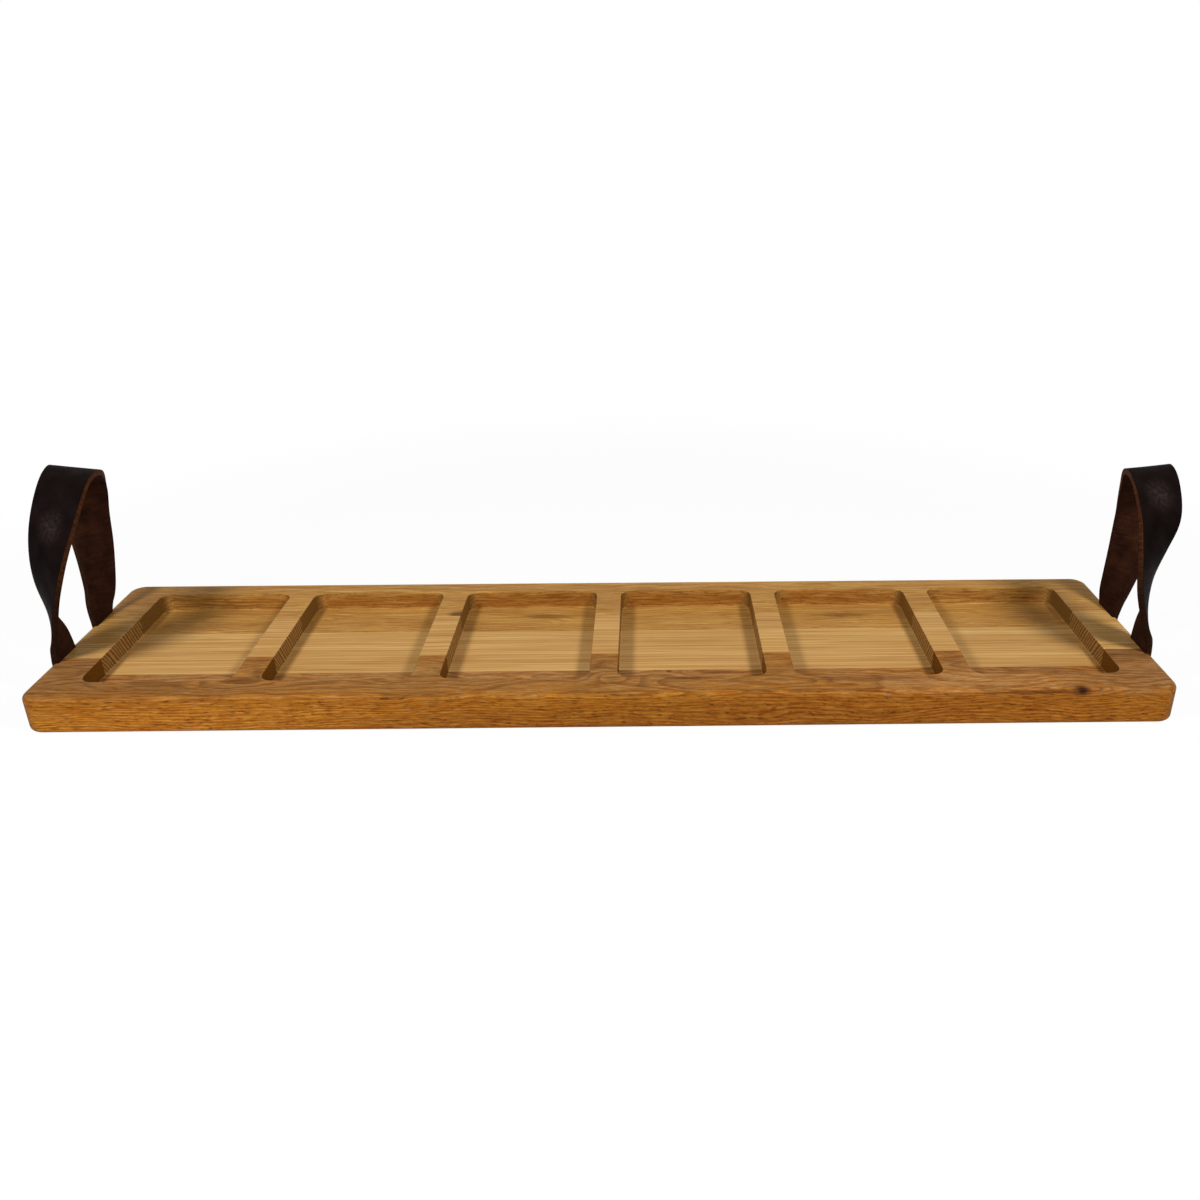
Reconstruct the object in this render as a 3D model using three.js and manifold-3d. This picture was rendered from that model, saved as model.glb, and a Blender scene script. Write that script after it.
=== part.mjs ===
// Divided serving tray: a long beech board of three glued staves with a row of routed pockets,
// and a leather strap handle let into each end.
// Millimetres, +X along the board, -Y to the front, +Z up, origin under the middle of the board.

import * as THREE from 'three';
import { mergeVertices } from 'three/addons/utils/BufferGeometryUtils.js';
import Module from 'manifold-3d';

// Pockets and the wood left standing around them
const POCKET_COUNT = 6;
const POCKET_LENGTH = 106;
const POCKET_WIDTH = 146;
const POCKET_DEPTH = 14;
const POCKET_CORNER = 9;
const POCKET_EASE = 0.8;
const DIVIDER = 20;
const END_MARGIN = 32;
const FRONT_RIM = 24;
const BACK_RIM = 20;

// Board blank and its staves; the middle stave takes the width that the other two leave
const BOARD_THICKNESS = 28;
const BOARD_CORNER = 12;
const EDGE_ROUND = 4;
const FRONT_STAVE = 59;
const BACK_STAVE = 65;
const GLUE_LINE = 0.3;

// Leather strap: narrow at the two tabs in the board, wide at the grip
const STRAP_THICKNESS = 4.2;
const STRAP_ROUND = 1.2;
const GRIP_WIDTH = 34;
const TAB_WIDTH = 26;
const TAB_LIFT = 2;
const TAB_NOSE = 6;
const TAB_SPACING = 61;
const LOOP_HEIGHT = 130;
const LOOP_SPAN = 70;
const ARCH_RISE = 56;
const TWIST_LENGTH = 125;
const LEAN = THREE.MathUtils.degToRad(4);

// Wood screws in cup washers, two side by side through each tab
const SCREW_DIAMETER = 2.9;
const SCREW_LENGTH = 20;
const SCREW_TIP = 4;
const HEAD_DIAMETER = 5.5;
const HEAD_DOME = 0.6;
const WASHER_DIAMETER = 7.6;
const WASHER_HEIGHT = 1.5;
const WASHER_RIM = 0.4;
const SCREW_SPACING = 16;

// Gap between pieces that touch
const FIT = 0.3;

// Sizes that follow from the ones above
const BOARD_LENGTH = POCKET_COUNT * POCKET_LENGTH + (POCKET_COUNT - 1) * DIVIDER + 2 * END_MARGIN;
const BOARD_WIDTH = FRONT_RIM + POCKET_WIDTH + BACK_RIM;
const FRONT_FACE = -BOARD_WIDTH / 2;
const BACK_FACE = BOARD_WIDTH / 2;
const FRONT_JOINT = FRONT_FACE + FRONT_STAVE;
const BACK_JOINT = BACK_FACE - BACK_STAVE;
const POCKET_MIDDLE = FRONT_FACE + FRONT_RIM + POCKET_WIDTH / 2;
const POCKET_FLOOR = BOARD_THICKNESS - POCKET_DEPTH;
const NOTCH_DEPTH = STRAP_THICKNESS + 2 * FIT;
const NOTCH_WIDTH = TAB_WIDTH + 2 * FIT;
const NOTCH_CORNER = STRAP_ROUND + FIT;
const TAB_CENTRE = FIT + STRAP_THICKNESS / 2;
const BEND_HEIGHT = BOARD_THICKNESS + FIT + STRAP_THICKNESS / 2;
const LEG_HEIGHT = LOOP_HEIGHT - FIT - STRAP_THICKNESS - ARCH_RISE;
const SCREW_HEIGHT = BOARD_THICKNESS / 2;
const HOLE_DIAMETER = SCREW_DIAMETER + 2 * FIT;
const OVERCUT = 2;

const wasm = await Module();
wasm.setup();

// Closed three.js geometry to a solid that can be cut, and back
function toSolid(geometry) {
  const bare = geometry.index ? geometry.toNonIndexed() : geometry.clone();
  bare.deleteAttribute('normal');
  bare.deleteAttribute('uv');
  const merged = mergeVertices(bare, 1e-4);
  return new wasm.Manifold(new wasm.Mesh({
    numProp: 3,
    vertProperties: new Float32Array(merged.attributes.position.array),
    triVerts: new Uint32Array(merged.index.array),
  }));
}

function toGeometry(solid) {
  const mesh = solid.getMesh();
  const geometry = new THREE.BufferGeometry();
  geometry.setAttribute('position', new THREE.BufferAttribute(mesh.vertProperties, mesh.numProp));
  geometry.setIndex(new THREE.BufferAttribute(mesh.triVerts, 1));
  geometry.computeVertexNormals();
  return geometry;
}

// Rounded rectangle as points in turning order, grown or shrunk all round by `grow`
function roundedOutline(length, width, corner, grow = 0, steps = 6) {
  const radius = Math.max(corner + grow, 0.05);
  const halfLength = length / 2 + grow - radius;
  const halfWidth = width / 2 + grow - radius;
  const points = [];
  for (let quarter = 0; quarter < 4; quarter += 1) {
    const signX = quarter === 0 || quarter === 3 ? 1 : -1;
    const signY = quarter < 2 ? 1 : -1;
    for (let step = 0; step <= steps; step += 1) {
      const angle = (quarter + step / steps) * Math.PI / 2;
      const x = signX * halfLength + radius * Math.cos(angle);
      const y = signY * halfWidth + radius * Math.sin(angle);
      points.push(new THREE.Vector2(x, y));
    }
  }
  return points;
}

// Skin over a row of rings, each ring turning the same way about the direction of travel
function loft(rings) {
  const count = rings[0].length;
  const last = (rings.length - 1) * count;
  const index = [];
  for (let ring = 0; ring + 1 < rings.length; ring += 1) {
    for (let side = 0; side < count; side += 1) {
      const a = ring * count + side;
      const b = ring * count + (side + 1) % count;
      index.push(a, b, b + count, a, b + count, a + count);
    }
  }
  for (let side = 1; side + 1 < count; side += 1) {
    index.push(0, side + 1, side);
    index.push(last, last + side, last + side + 1);
  }
  const geometry = new THREE.BufferGeometry().setFromPoints(rings.flat());
  geometry.setIndex(index);
  geometry.computeVertexNormals();
  return geometry;
}

// Upright solid from one outline that grows or shrinks from level to level
function stack(length, width, corner, levels, steps) {
  return loft(levels.map(({ z, grow }) => roundedOutline(length, width, corner, grow, steps)
    .map((point) => new THREE.Vector3(point.x, point.y, z))));
}

// Board blank: rounded in plan, with a quarter-round along the top and bottom edges
function boardBlank() {
  const levels = [];
  const steps = 4;
  for (let step = 0; step <= steps; step += 1) {
    const angle = step / steps * Math.PI / 2;
    levels.push({ z: EDGE_ROUND * (1 - Math.sin(angle)), grow: EDGE_ROUND * (Math.cos(angle) - 1) });
  }
  const upper = levels.map(({ z, grow }) => ({ z: BOARD_THICKNESS - z, grow }));
  return toSolid(stack(BOARD_LENGTH, BOARD_WIDTH, BOARD_CORNER, [...levels.reverse(), ...upper]));
}

// Pocket cutter: flat floor, upright walls, and a slightly eased upper edge
function pocketCutter(x) {
  const levels = [
    { z: POCKET_FLOOR, grow: 0 },
    { z: BOARD_THICKNESS - POCKET_EASE, grow: 0 },
    { z: BOARD_THICKNESS, grow: POCKET_EASE },
    { z: BOARD_THICKNESS + OVERCUT, grow: POCKET_EASE + OVERCUT },
  ];
  return toSolid(stack(POCKET_LENGTH, POCKET_WIDTH, POCKET_CORNER, levels).translate(x, POCKET_MIDDLE, 0));
}

// Notch in an end face that takes one tab of the strap
function notchCutter(side, y) {
  const levels = [
    { z: -OVERCUT, grow: 0 },
    { z: BOARD_THICKNESS + OVERCUT, grow: 0 },
  ];
  const length = 2 * NOTCH_DEPTH;
  return toSolid(stack(length, NOTCH_WIDTH, NOTCH_CORNER, levels, 3)
    .translate(side * BOARD_LENGTH / 2, y, 0));
}

// Round hole along X, as long as a screw and the strap that it passes
function screwHole(x, y) {
  const length = 2 * (SCREW_LENGTH + OVERCUT);
  return toSolid(new THREE.CylinderGeometry(HOLE_DIAMETER / 2, HOLE_DIAMETER / 2, length, 12)
    .rotateZ(Math.PI / 2)
    .translate(x, y, SCREW_HEIGHT));
}

const tabPlaces = [-TAB_SPACING / 2, TAB_SPACING / 2];
const screwOffsets = [-SCREW_SPACING / 2, SCREW_SPACING / 2];

// Machined board: the pockets, notches and screw holes are cut after the staves are glued
function machinedBoard() {
  let board = boardBlank();
  const pitch = POCKET_LENGTH + DIVIDER;
  for (let pocket = 0; pocket < POCKET_COUNT; pocket += 1) {
    board = board.subtract(pocketCutter((pocket - (POCKET_COUNT - 1) / 2) * pitch));
  }
  for (const side of [-1, 1]) {
    for (const y of tabPlaces) {
      board = board.subtract(notchCutter(side, y));
      for (const offset of screwOffsets) {
        board = board.subtract(screwHole(side * BOARD_LENGTH / 2, y + offset));
      }
    }
  }
  return board;
}

// One stave: the slice of the machined board between two joint lines
function stave(board, from, to) {
  const width = to - from;
  const slice = new THREE.BoxGeometry(BOARD_LENGTH + OVERCUT, width, BOARD_THICKNESS + OVERCUT)
    .translate(0, from + width / 2, BOARD_THICKNESS / 2);
  return toGeometry(board.intersect(toSolid(slice)));
}

// Strap tab: flat leather with rounded edges, a rounded lower end and two screw holes.
// Its origin is on the underside of the board, at the middle of the leather.
function tabGeometry() {
  const levels = [{ z: TAB_LIFT, grow: 0 }, { z: BOARD_THICKNESS, grow: 0 }];
  let tab = toSolid(stack(STRAP_THICKNESS, TAB_WIDTH, STRAP_ROUND, levels, 3));
  const height = 2 * (BOARD_THICKNESS - TAB_LIFT);
  const nose = [-STRAP_THICKNESS, STRAP_THICKNESS].map((z) => ({ z, grow: 0 }));
  const outline = stack(height, TAB_WIDTH + FIT, TAB_NOSE, nose)
    .rotateY(-Math.PI / 2)
    .translate(0, 0, BOARD_THICKNESS);
  tab = tab.intersect(toSolid(outline));
  for (const offset of screwOffsets) {
    tab = tab.subtract(screwHole(0, offset));
  }
  return toGeometry(tab);
}

// Middle line of the loop, from the front bend over the arch to the rear bend: each leg draws in
// from its tab to the span of the arch, and a half ellipse joins the two legs.
class LoopLine extends THREE.Curve {
  getPoint(t, target = new THREE.Vector3()) {
    const way = 2 * t - 1;
    const legShare = LEG_HEIGHT / (LEG_HEIGHT + LOOP_SPAN / 2);
    const climb = (1 - Math.abs(way)) / legShare;
    if (climb < 1) {
      const reach = THREE.MathUtils.lerp(TAB_SPACING, LOOP_SPAN, THREE.MathUtils.smoothstep(climb, 0, 1));
      return target.set(0, Math.sign(way) * reach / 2, climb * LEG_HEIGHT);
    }
    const angle = way / (1 - legShare) * Math.PI / 2;
    return target.set(0, LOOP_SPAN / 2 * Math.sin(angle), LEG_HEIGHT + ARCH_RISE * Math.cos(angle));
  }
}

// Strap loop: a rounded strap section carried along the loop line. At the bends the leather lies
// across the board like the tabs; on the way up it turns a quarter turn and widens to the grip.
// Each end is half-round about the bend, so that the loop can swing over its tab.
function loopGeometry() {
  const line = new LoopLine();
  line.arcLengthDivisions = 800;
  const length = line.getLength();
  const outward = new THREE.Vector3(-1, 0, 0);
  const rings = [];

  const addRing = (along, beyond, thickness) => {
    const tangent = line.getTangentAt(along);
    const centre = line.getPointAt(along).addScaledVector(tangent, beyond);
    const fromEnd = Math.min(along, 1 - along) * length;
    const widened = THREE.MathUtils.smoothstep(fromEnd, 0, LEG_HEIGHT);
    const turned = THREE.MathUtils.clamp((fromEnd - STRAP_THICKNESS) / TWIST_LENGTH, 0, 1);
    const twist = Math.sin(turned * Math.PI / 2) * Math.PI / 2;
    const face = new THREE.Vector3(0, -tangent.z, tangent.y)
      .multiplyScalar(Math.sin(twist))
      .addScaledVector(outward, Math.cos(twist));
    const across = face.clone().cross(tangent);
    const width = THREE.MathUtils.lerp(TAB_WIDTH, GRIP_WIDTH, widened);
    const round = Math.min(STRAP_ROUND, 0.45 * thickness);
    rings.push(roundedOutline(width, thickness, round, 0, 2).map((point) => centre.clone()
      .addScaledVector(across, point.x)
      .addScaledVector(face, point.y)));
  };

  const stations = 60;
  const endSteps = 3;
  const endAngle = THREE.MathUtils.degToRad(75);
  for (let step = endSteps; step > 0; step -= 1) {
    const angle = step / endSteps * endAngle;
    addRing(0, -STRAP_THICKNESS / 2 * Math.sin(angle), STRAP_THICKNESS * Math.cos(angle));
  }
  for (let station = 0; station <= stations; station += 1) {
    addRing(station / stations, 0, STRAP_THICKNESS);
  }
  for (let step = 1; step <= endSteps; step += 1) {
    const angle = step / endSteps * endAngle;
    addRing(1, STRAP_THICKNESS / 2 * Math.sin(angle), STRAP_THICKNESS * Math.cos(angle));
  }
  return loft(rings);
}

// Cup washer, base at zero, with a cone inside for the countersunk head
function washerGeometry() {
  const inside = HOLE_DIAMETER / 2;
  const mouth = HEAD_DIAMETER / 2 + FIT;
  const outside = WASHER_DIAMETER / 2;
  const profile = [
    [inside, 0], [outside, 0], [outside, WASHER_RIM], [mouth + WASHER_RIM, WASHER_HEIGHT],
    [mouth, WASHER_HEIGHT], [inside, 0],
  ];
  return new THREE.LatheGeometry(profile.map(([x, y]) => new THREE.Vector2(x, y)), 20);
}

// Wood screw with a raised countersunk head, its head's edge level with the washer's mouth
function screwGeometry() {
  const shank = SCREW_DIAMETER / 2;
  const head = HEAD_DIAMETER / 2;
  const profile = [
    [0, WASHER_HEIGHT - SCREW_LENGTH], [shank, WASHER_HEIGHT - SCREW_LENGTH + SCREW_TIP],
    [shank, 0], [head, WASHER_HEIGHT], [head * 0.7, WASHER_HEIGHT + HEAD_DOME * 0.7],
    [0, WASHER_HEIGHT + HEAD_DOME],
  ];
  return new THREE.LatheGeometry(profile.map(([x, y]) => new THREE.Vector2(x, y)), 16);
}

const materials = {
  frontBeech: new THREE.MeshStandardMaterial({ color: 0xb07a45, roughness: 0.55 }),
  middleBeech: new THREE.MeshStandardMaterial({ color: 0xc39a5e, roughness: 0.55 }),
  backBeech: new THREE.MeshStandardMaterial({ color: 0xb58550, roughness: 0.55 }),
  leather: new THREE.MeshStandardMaterial({ color: 0x2a1710, roughness: 0.5 }),
  steel: new THREE.MeshStandardMaterial({ color: 0xb9b7b0, roughness: 0.35, metalness: 1 }),
};

function named(name, geometry, material) {
  const mesh = new THREE.Mesh(geometry, material);
  mesh.name = name;
  return mesh;
}

// One end of the tray, built for the left end: outward is -X, the end face is at x = 0
function strapEnd(label, rowOfPlaces) {
  const end = new THREE.Group();
  const headTurn = Math.PI / 2;
  const tab = tabGeometry();
  const washer = washerGeometry();
  const screw = screwGeometry();
  rowOfPlaces.forEach((place, row) => {
    const y = tabPlaces[row];
    const tabMesh = named(`${label}_${place}_tab`, tab.clone(), materials.leather);
    tabMesh.position.set(TAB_CENTRE, y, 0);
    end.add(tabMesh);
    screwOffsets.forEach((offset, hole) => {
      const which = hole === 0 ? 'a' : 'b';
      const washerMesh = named(`${label}_${place}_washer_${which}`, washer.clone(), materials.steel);
      const screwMesh = named(`${label}_${place}_screw_${which}`, screw.clone(), materials.steel);
      for (const mesh of [washerMesh, screwMesh]) {
        mesh.position.set(0, y + offset, SCREW_HEIGHT);
        mesh.rotation.z = headTurn;
        end.add(mesh);
      }
    });
  });
  const loop = named(`${label}_strap_loop`, loopGeometry(), materials.leather);
  loop.position.set(TAB_CENTRE, 0, BEND_HEIGHT);
  loop.rotation.y = LEAN;
  end.add(loop);
  return end;
}

const tray = new THREE.Group();
tray.name = 'divided_serving_tray';

const board = machinedBoard();
const halfJoint = GLUE_LINE / 2;
tray.add(
  named('front_stave', stave(board, FRONT_FACE - OVERCUT, FRONT_JOINT - halfJoint), materials.frontBeech),
  named('middle_stave', stave(board, FRONT_JOINT + halfJoint, BACK_JOINT - halfJoint), materials.middleBeech),
  named('back_stave', stave(board, BACK_JOINT + halfJoint, BACK_FACE + OVERCUT), materials.backBeech),
);

const leftEnd = strapEnd('left', ['front', 'rear']);
leftEnd.position.x = -BOARD_LENGTH / 2;
const rightEnd = strapEnd('right', ['rear', 'front']);
rightEnd.position.x = BOARD_LENGTH / 2;
rightEnd.rotation.z = Math.PI;
tray.add(leftEnd, rightEnd);

export default tray;
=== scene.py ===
# %% [markdown]
# # A divided serving tray in oiled beech with two leather strap loops
# The tray is a long board of three beech staves, glued edge to edge, with six pockets routed into
# its top and a leather strap let into each end as a loop handle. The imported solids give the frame:
# they set every size and carry the joints, and this lesson dresses them.

# %% Load the frame
import math

import bmesh
import bpy
from mathutils import Matrix, Vector


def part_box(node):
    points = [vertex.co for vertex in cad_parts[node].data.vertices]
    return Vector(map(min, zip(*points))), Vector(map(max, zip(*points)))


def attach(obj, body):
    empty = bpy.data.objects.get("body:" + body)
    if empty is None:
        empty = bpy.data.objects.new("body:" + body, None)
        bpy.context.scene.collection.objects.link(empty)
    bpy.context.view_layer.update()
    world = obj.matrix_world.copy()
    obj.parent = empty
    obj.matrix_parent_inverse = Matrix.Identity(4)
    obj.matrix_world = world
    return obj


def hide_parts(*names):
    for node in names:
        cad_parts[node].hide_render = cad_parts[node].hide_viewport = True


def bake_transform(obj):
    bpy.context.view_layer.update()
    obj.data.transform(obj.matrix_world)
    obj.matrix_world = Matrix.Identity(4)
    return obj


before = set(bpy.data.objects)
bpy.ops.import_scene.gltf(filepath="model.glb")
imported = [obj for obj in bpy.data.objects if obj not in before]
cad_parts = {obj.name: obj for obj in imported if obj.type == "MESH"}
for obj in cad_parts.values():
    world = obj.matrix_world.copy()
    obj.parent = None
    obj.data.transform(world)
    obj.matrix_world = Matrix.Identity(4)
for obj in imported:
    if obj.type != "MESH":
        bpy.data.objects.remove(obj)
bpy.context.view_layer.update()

MM = 0.001
front_low, front_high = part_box("front_stave")
middle_low, middle_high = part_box("middle_stave")
back_low, back_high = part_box("back_stave")
LENGTH = front_high.x - front_low.x
WIDTH = back_high.y - front_low.y
THICKNESS = front_high.z
FRONT_JOINT = (front_high.y + middle_low.y) / 2
BACK_JOINT = (middle_high.y + back_low.y) / 2
print(f"board {LENGTH:.3f} x {WIDTH:.3f} x {THICKNESS:.3f} m")
print(f"glue joints at y = {FRONT_JOINT:.4f} and {BACK_JOINT:.4f} m")

# %% [markdown]
# ## The camera
# The picture looks down on the front of the tray by about 25 degrees, from a little right of its
# middle. A camera could be aimed by eye, or worked out from the board's corners. The corners are
# surer, because they fix the distance and the lens together. The lens is moved a twentieth of the
# frame sideways, as the picture is framed off centre.

# %% Place the camera
CAMERA_PLACE = (0.0333, -0.7292, 0.3940)  # metres
LOOK_DOWN, LOOK_ASIDE, ROLL = 0.43586, 0.01068, 0.00409  # radians
PICTURE, FOCAL_PIXELS, AXIS_PIXEL = 1200, 1065.9, 660  # pixels
SENSOR = 36  # millimetres

forward = Vector((math.sin(LOOK_ASIDE) * math.cos(LOOK_DOWN),
                  math.cos(LOOK_ASIDE) * math.cos(LOOK_DOWN), -math.sin(LOOK_DOWN)))
sideways = Vector((math.cos(LOOK_ASIDE), -math.sin(LOOK_ASIDE), 0))
below = forward.cross(sideways)
right = math.cos(ROLL) * sideways + math.sin(ROLL) * below
up = right.cross(forward)
aim = Matrix((right, up, -forward)).transposed().to_4x4()
lens = bpy.data.cameras.new("camera")
lens.sensor_width = SENSOR
lens.lens = SENSOR * FOCAL_PIXELS / PICTURE
lens.shift_x = (PICTURE / 2 - AXIS_PIXEL) / PICTURE
lens.clip_start, lens.clip_end = 0.01, 50
camera = bpy.data.objects.new("camera", lens)
camera.matrix_world = Matrix.Translation(CAMERA_PLACE) @ aim
bpy.context.scene.collection.objects.link(camera)
bpy.context.scene.camera = camera
print(f"lens {lens.lens:.1f} mm, looking down {math.degrees(LOOK_DOWN):.1f} degrees")

# %% [markdown]
# ## Hands for the bench
# Everything below is done as at the bench: add a plain block, pick edges by where they are, and use
# one tool on them. A few small helpers clear the bench, add the block and pick the edges, so that
# each later step reads as one action.

# %% Helpers for blocks and for picking edges
TINY = 1e-6  # in metres: places closer than this are the same


def clear_bench():
    """Leaves edit mode and deselects everything."""
    if bpy.context.object and bpy.context.object.mode != "OBJECT":
        bpy.ops.object.mode_set(mode="OBJECT")
    bpy.ops.object.select_all(action="DESELECT")


def block(name, low, high):
    """A block between two corners, with its size in its mesh, left in edit mode."""
    clear_bench()
    low, high = Vector(low), Vector(high)
    bpy.ops.mesh.primitive_cube_add(size=1, location=(low + high) / 2)
    made = bpy.context.object
    made.name = made.data.name = name
    made.scale = high - low
    bpy.ops.object.transform_apply(location=True, rotation=True, scale=True)
    bpy.ops.object.mode_set(mode="EDIT")
    return made


def pick_edges(test):
    """In edit mode, selects the edges that pass the test, and no others."""
    bpy.ops.mesh.select_mode(type="EDGE")
    bpy.ops.mesh.select_all(action="DESELECT")
    shape = bmesh.from_edit_mesh(bpy.context.object.data)
    picked = [edge for edge in shape.edges if test(edge)]
    for edge in picked:
        edge.select_set(True)
    bmesh.update_edit_mesh(bpy.context.object.data)
    return len(picked)


def upright(edge):
    """An edge that stands straight up."""
    start, end = (vertex.co for vertex in edge.verts)
    return abs(start.x - end.x) < TINY and abs(start.y - end.y) < TINY


def lies_flat(edge):
    """An edge whose two ends are equally high."""
    start, end = (vertex.co for vertex in edge.verts)
    return abs(start.z - end.z) < TINY


print(f"bench ready, with {len(bpy.context.selected_objects)} solids of the frame still selected")

# %% [markdown]
# ## The board blank
# On the real tray the glued blank is sawn to size, its corners are rounded on a sander and its
# edges are run round with a 4 mm router bit. A bevel does both: first the four upright corners, then
# the rim above and below. Rounding the corners first lets the second bevel run round them unbroken.

# %% Round the blank
CORNER_ROUND, CORNER_STEPS = 12 * MM, 8
EDGE_ROUND, EDGE_STEPS = 4 * MM, 5

board = block("board", (-LENGTH / 2, -WIDTH / 2, 0), (LENGTH / 2, WIDTH / 2, THICKNESS))
pick_edges(upright)
bpy.ops.mesh.bevel(offset=CORNER_ROUND, segments=CORNER_STEPS, affect="EDGES")
pick_edges(lies_flat)
bpy.ops.mesh.bevel(offset=EDGE_ROUND, segments=EDGE_STEPS, affect="EDGES")
clear_bench()
print(f"blank: {len(board.data.polygons)} faces")

# %% [markdown]
# ## Six routed pockets
# A router with a template leaves a flat floor, upright walls and corners of the cutter's radius.
# The pockets could be pulled down from faces of the top, but a cutter block with rounded corners,
# taken out six times, is the router's own way, and keeps the corners round. The bit's tip leaves a
# narrow cove at the floor.

# %% Rout the pockets
POCKETS, POCKET_LENGTH, POCKET_DEPTH, DIVIDER = 6, 106 * MM, 14 * MM, 20 * MM
FRONT_RIM, BACK_RIM = 24 * MM, 20 * MM
POCKET_ROUND, POCKET_STEPS = 9 * MM, 8
FLOOR_COVE, COVE_STEPS = 1.0 * MM, 2
ABOVE_BOARD = 10 * MM  # how far the cutter stands out of its pocket
FLOOR = THICKNESS - POCKET_DEPTH


def on_floor(edge):
    """An edge at the height of the pockets' floors."""
    return all(abs(vertex.co.z - FLOOR) < TINY for vertex in edge.verts)


def use(piece, kind, **settings):
    """Adds one modifier to the piece and applies it."""
    clear_bench()
    bpy.context.view_layer.objects.active = piece
    piece.select_set(True)
    modifier = piece.modifiers.new(kind.lower(), kind)
    for name, value in settings.items():
        setattr(modifier, name, value)
    bpy.ops.object.modifier_apply(modifier=modifier.name)


def cut_out(piece, cutter):
    """Takes the cutter's shape out of the piece."""
    use(piece, "BOOLEAN", operation="DIFFERENCE", solver="EXACT", object=cutter)


cutter = block("pocket_cutter", (-POCKET_LENGTH / 2, FRONT_RIM - WIDTH / 2, FLOOR),
               (POCKET_LENGTH / 2, WIDTH / 2 - BACK_RIM, THICKNESS + ABOVE_BOARD))
pick_edges(upright)
bpy.ops.mesh.bevel(offset=POCKET_ROUND, segments=POCKET_STEPS, affect="EDGES")
pick_edges(on_floor)
bpy.ops.mesh.bevel(offset=FLOOR_COVE, segments=COVE_STEPS, affect="EDGES")
clear_bench()
for number in range(POCKETS):
    cutter.location.x = (number - (POCKETS - 1) / 2) * (POCKET_LENGTH + DIVIDER)
    cut_out(board, cutter)
bpy.data.objects.remove(cutter)
print(f"pockets: {POCKETS} routed, {len(board.data.polygons)} faces")

# %% [markdown]
# ## Eased rims
# A light pass with abrasive takes the sharpness off the rim of each pocket. A bevel over the whole
# board would round its outside a second time, so only the edges between the flat top and a steep
# wall are picked.

# %% Ease the rims
RIM_EASE, RIM_STEPS = 0.8 * MM, 2
STEEP, FLAT = 0.1, 0.9  # how far a face's normal points up or down


def pocket_rim(edge):
    """An edge between the flat top and a pocket's wall."""
    if len(edge.link_faces) != 2:
        return False
    if any(abs(vertex.co.z - THICKNESS) > TINY for vertex in edge.verts):
        return False
    wall, top = sorted(abs(face.normal.z) for face in edge.link_faces)
    return wall < STEEP and top > FLAT


bpy.context.view_layer.objects.active = board
bpy.ops.object.mode_set(mode="EDIT")
rim_edges = pick_edges(pocket_rim)
bpy.ops.mesh.bevel(offset=RIM_EASE, segments=RIM_STEPS, affect="EDGES")
clear_bench()
print(f"rims: {rim_edges} edges eased, {len(board.data.polygons)} faces")

# %% [markdown]
# ## Notches for the straps
# Each end face has two upright notches, as wide and as deep as a strap's end, so that the leather
# lies flush. They are sawn right through from top to bottom. Extruding faces inwards would need
# edges drawn there first, so a plain block cuts each one.

# %% Cut the notches
NOTCH_WIDTH, NOTCH_DEPTH, TAB_OFFSET = 26.6 * MM, 4.8 * MM, 30.5 * MM
OVERCUT = 5 * MM  # how far the saw runs out past the board

for end in (-1, 1):
    for place in (-1, 1):
        inner, outer = sorted((end * (LENGTH / 2 - NOTCH_DEPTH), end * (LENGTH / 2 + OVERCUT)))
        saw = block("saw", (inner, place * TAB_OFFSET - NOTCH_WIDTH / 2, -OVERCUT),
                    (outer, place * TAB_OFFSET + NOTCH_WIDTH / 2, THICKNESS + OVERCUT))
        cut_out(board, saw)
        bpy.data.objects.remove(saw)
print(f"notches cut: {len(board.data.polygons)} faces")

# %% [markdown]
# ## Three staves
# The board shows three bands of wood, because it is three staves glued edge to edge. Modelling each
# alone would mean cutting every pocket three times. Sawing the finished board along its two glue
# lines gives staves that meet exactly, each with its own mesh and its own wood.

# %% Rip the board into staves
SHARP_ANGLE = math.radians(35)
FLAT_WEIGHT = 80  # large flat faces keep their shading, and the bevels take up the turn


def rip(name, low_y, high_y):
    """A copy of the board, sawn off at its glue joints."""
    clear_bench()
    stave = board.copy()
    stave.data = board.data.copy()
    stave.name = stave.data.name = name
    bpy.context.scene.collection.objects.link(stave)
    bpy.context.view_layer.objects.active = stave
    stave.select_set(True)
    bpy.ops.object.mode_set(mode="EDIT")
    for y, normal_y in ((low_y, -1), (high_y, 1)):
        if abs(y) < WIDTH / 2 - TINY:
            bpy.ops.mesh.select_all(action="SELECT")
            bpy.ops.mesh.bisect(plane_co=(0, y, 0), plane_no=(0, normal_y, 0),
                                use_fill=True, clear_outer=True)
    clear_bench()
    stave.select_set(True)
    bpy.context.view_layer.objects.active = stave
    bpy.ops.object.shade_smooth_by_angle(angle=SHARP_ANGLE)
    use(stave, "WEIGHTED_NORMAL", keep_sharp=True, weight=FLAT_WEIGHT)
    print(f"{name}: {len(stave.data.polygons)} faces")
    return stave


front_stave = rip("front_beech_stave", -WIDTH / 2, FRONT_JOINT)
middle_stave = rip("middle_beech_stave", FRONT_JOINT, BACK_JOINT)
back_stave = rip("back_beech_stave", BACK_JOINT, WIDTH / 2)
bpy.data.objects.remove(board)

# %% [markdown]
# ## The way of the two straps
# Each handle is one strap. Its ends lie upright in the notches, and on its way up each leg turns a
# quarter turn, so that the grip lies along the board. A curve modifier with tilt could bend a flat
# strap, but then the width can't change on the way. So a list of stations says where each strap
# goes, with a place, a turn and a width at each. The straps were twisted by hand, and the two are
# not alike.

# %% Stations of the two loops, in millimetres and degrees
TAB_ROWS = ((2, 15), (3.2, 20.5), (5.4, 24.6), (8.5, 26), (15, 26), (22, 26))  # height and width
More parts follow.
